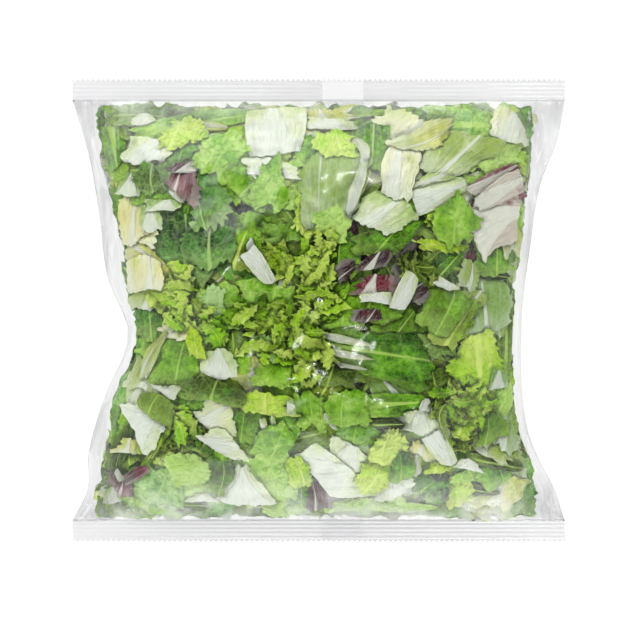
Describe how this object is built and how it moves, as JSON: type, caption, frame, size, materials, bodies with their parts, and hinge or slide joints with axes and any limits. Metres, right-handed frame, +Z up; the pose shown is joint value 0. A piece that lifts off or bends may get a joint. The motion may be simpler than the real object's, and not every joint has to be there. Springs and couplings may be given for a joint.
{
  "type": "bag of salad leaves",
  "caption": "Clear sealed pillow bag full of mixed salad leaves, lying on its back, with crimped, zigzag-cut end seals and a folded back seam.",
  "frame": {"origin": "on the table, under the middle of the bag's bounding box", "axes": "+X across the bag along its end seals, +Y towards its top seal, +Z up from the table"},
  "size_m": [0.25, 0.235, 0.0757],
  "materials": {
    "filled_bag": "clear glossy film over mixed green leaves, for the plain solid",
    "clear_film": "clear glossy oriented film, a little milky where two layers lie together",
    "green_leaf": "smooth waxy salad leaf, light veins",
    "frilly_leaf": "curly toothed endive leaf, yellow-green",
    "pale_leaf": "pale heart leaf and white rib, juicy and smooth",
    "red_leaf": "wine-red chicory leaf with white ribs",
    "leaf_mass": "dark crumpled leaves in the middle of the bag"
  },
  "bodies": {
    "root": {"salad_bag": "filled_bag"}
  },
  "joints": []
}
